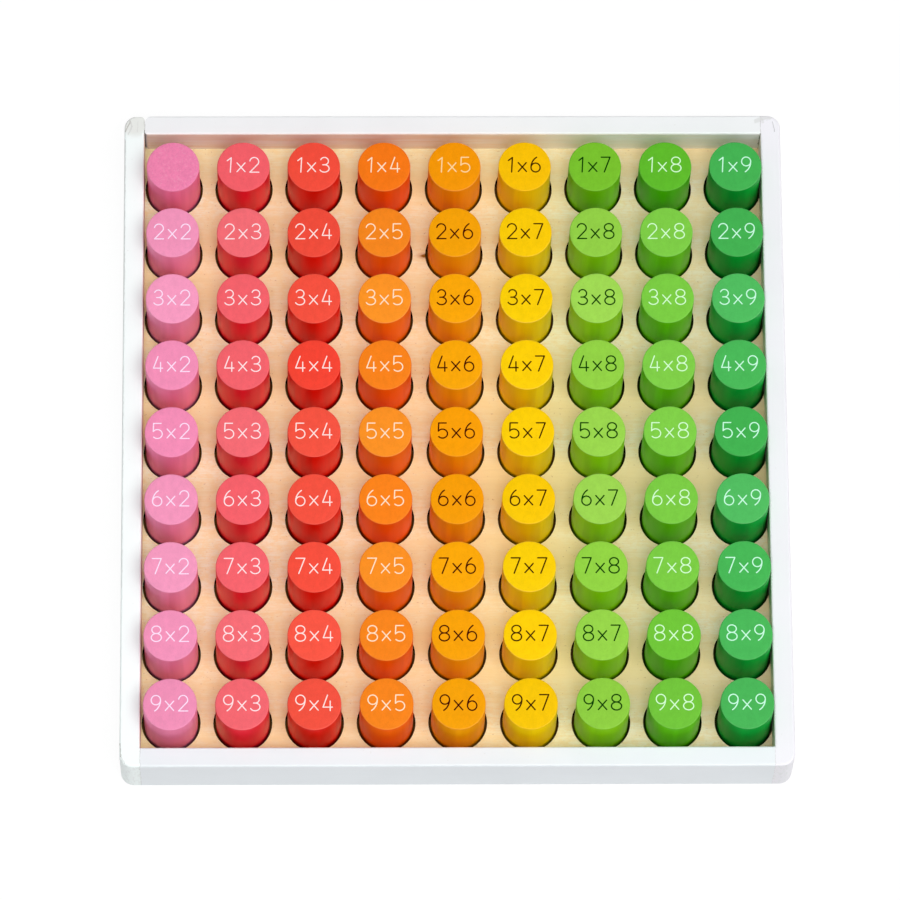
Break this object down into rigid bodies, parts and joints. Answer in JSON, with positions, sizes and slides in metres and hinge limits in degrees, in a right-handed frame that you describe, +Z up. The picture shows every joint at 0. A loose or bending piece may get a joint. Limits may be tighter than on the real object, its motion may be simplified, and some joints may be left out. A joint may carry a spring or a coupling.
{
  "type": "multiplication bead board",
  "caption": "Shallow wooden tray with a perforated plate and a square grid of upright round beads in coloured columns, for learning the times tables.",
  "frame": {"origin": "middle of the underside, which is the centre of the bottom of the bounding box", "axes": "+X along a row of beads to the right, +Y to the back rail, +Z up out of the tray"},
  "size_m": [0.2508, 0.26, 0.033],
  "materials": {
    "white_paint": "satin white paint on wood",
    "bare_plate": "bare sanded beech",
    "bare_base": "bare plywood",
    "steel_wire": "plain drawn wire",
    "pink_stain": "satin coloured stain on turned wood",
    "rose_stain": "satin coloured stain on turned wood",
    "red_stain": "satin coloured stain on turned wood",
    "orange_stain": "satin coloured stain on turned wood",
    "amber_stain": "satin coloured stain on turned wood",
    "yellow_stain": "satin coloured stain on turned wood",
    "lime_stain": "satin coloured stain on turned wood",
    "green_stain": "satin coloured stain on turned wood",
    "dark_green_stain": "satin coloured stain on turned wood"
  },
  "bodies": {
    "root": {"rail_left": "white_paint", "rail_right": "white_paint", "rail_back": "white_paint", "rail_front": "white_paint", "perforated_plate": "bare_plate", "base_board": "bare_base", "corner_brads": "steel_wire", "panel_brads": "steel_wire", "beads_pink": "pink_stain", "beads_rose": "rose_stain", "beads_red": "red_stain", "beads_orange": "orange_stain", "beads_amber": "amber_stain", "beads_yellow": "yellow_stain", "beads_lime": "lime_stain", "beads_green": "green_stain", "beads_dark_green": "dark_green_stain"}
  },
  "joints": []
}
